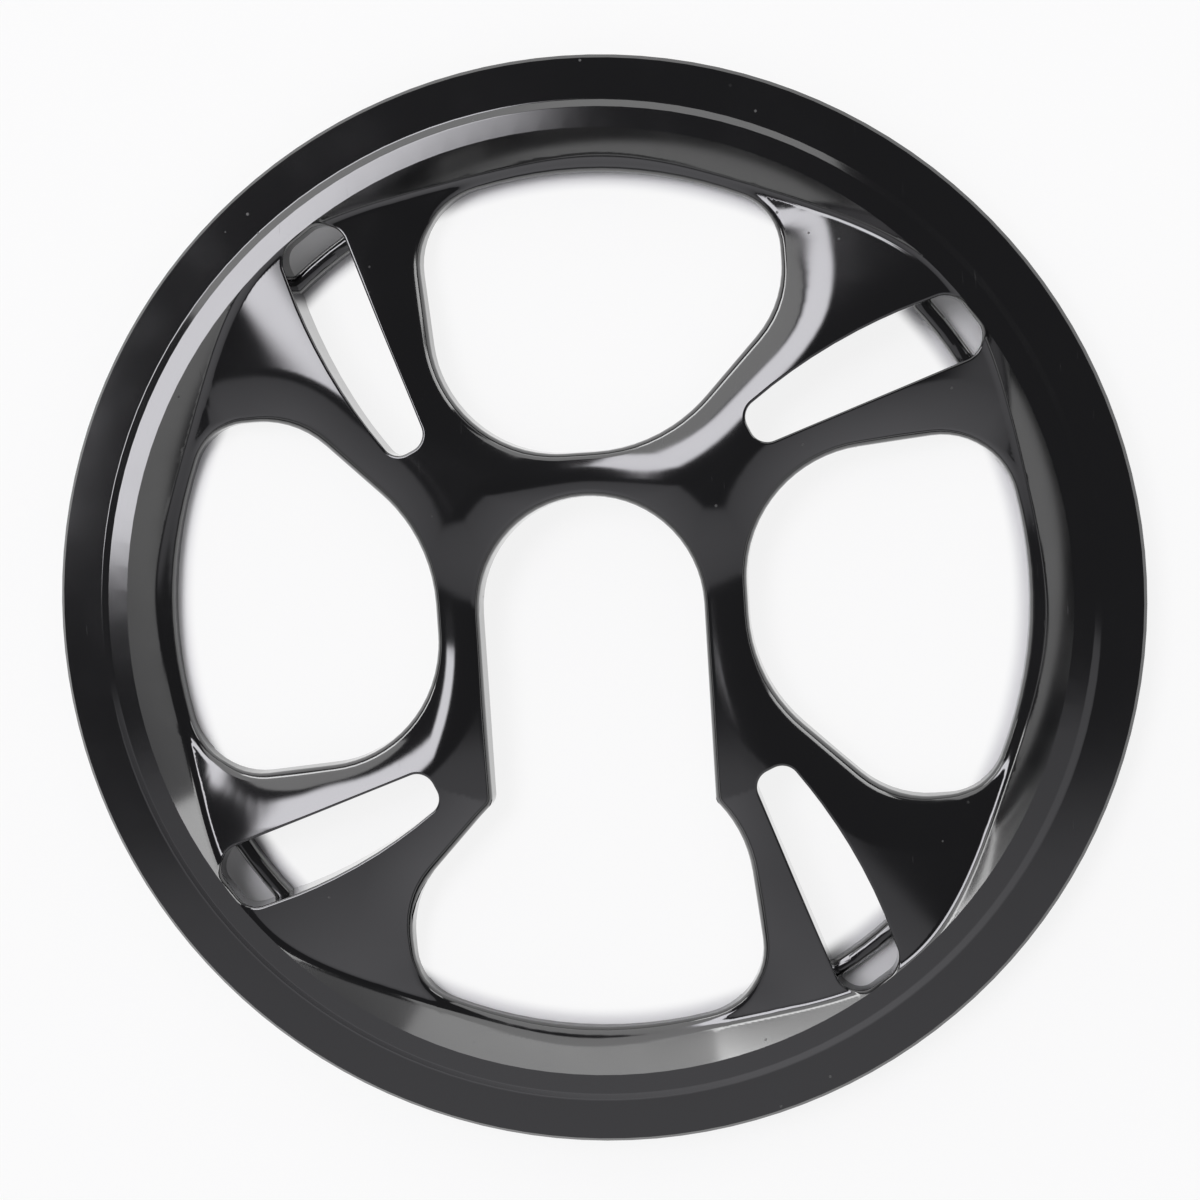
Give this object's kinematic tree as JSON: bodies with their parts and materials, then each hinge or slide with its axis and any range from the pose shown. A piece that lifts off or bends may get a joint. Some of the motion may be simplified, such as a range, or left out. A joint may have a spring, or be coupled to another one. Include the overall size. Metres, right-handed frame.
{
  "type": "bicycle chain guard",
  "caption": "Round moulded chain guard with swirled slotted spokes, a stepped rim that shades the chainring's teeth and a keyhole mouth that passes over the crank.",
  "frame": {"origin": "on the crank's axis, in the plane of the seat that lies on the chainring", "axes": "+Z along the crank's axis away from the bicycle, -Y through the mouth for the crank arm"},
  "size_m": [0.1879, 0.188, 0.011],
  "materials": {
    "black_plastic": "glossy as moulded"
  },
  "bodies": {
    "root": {"chain_guard": "black_plastic"}
  },
  "joints": []
}
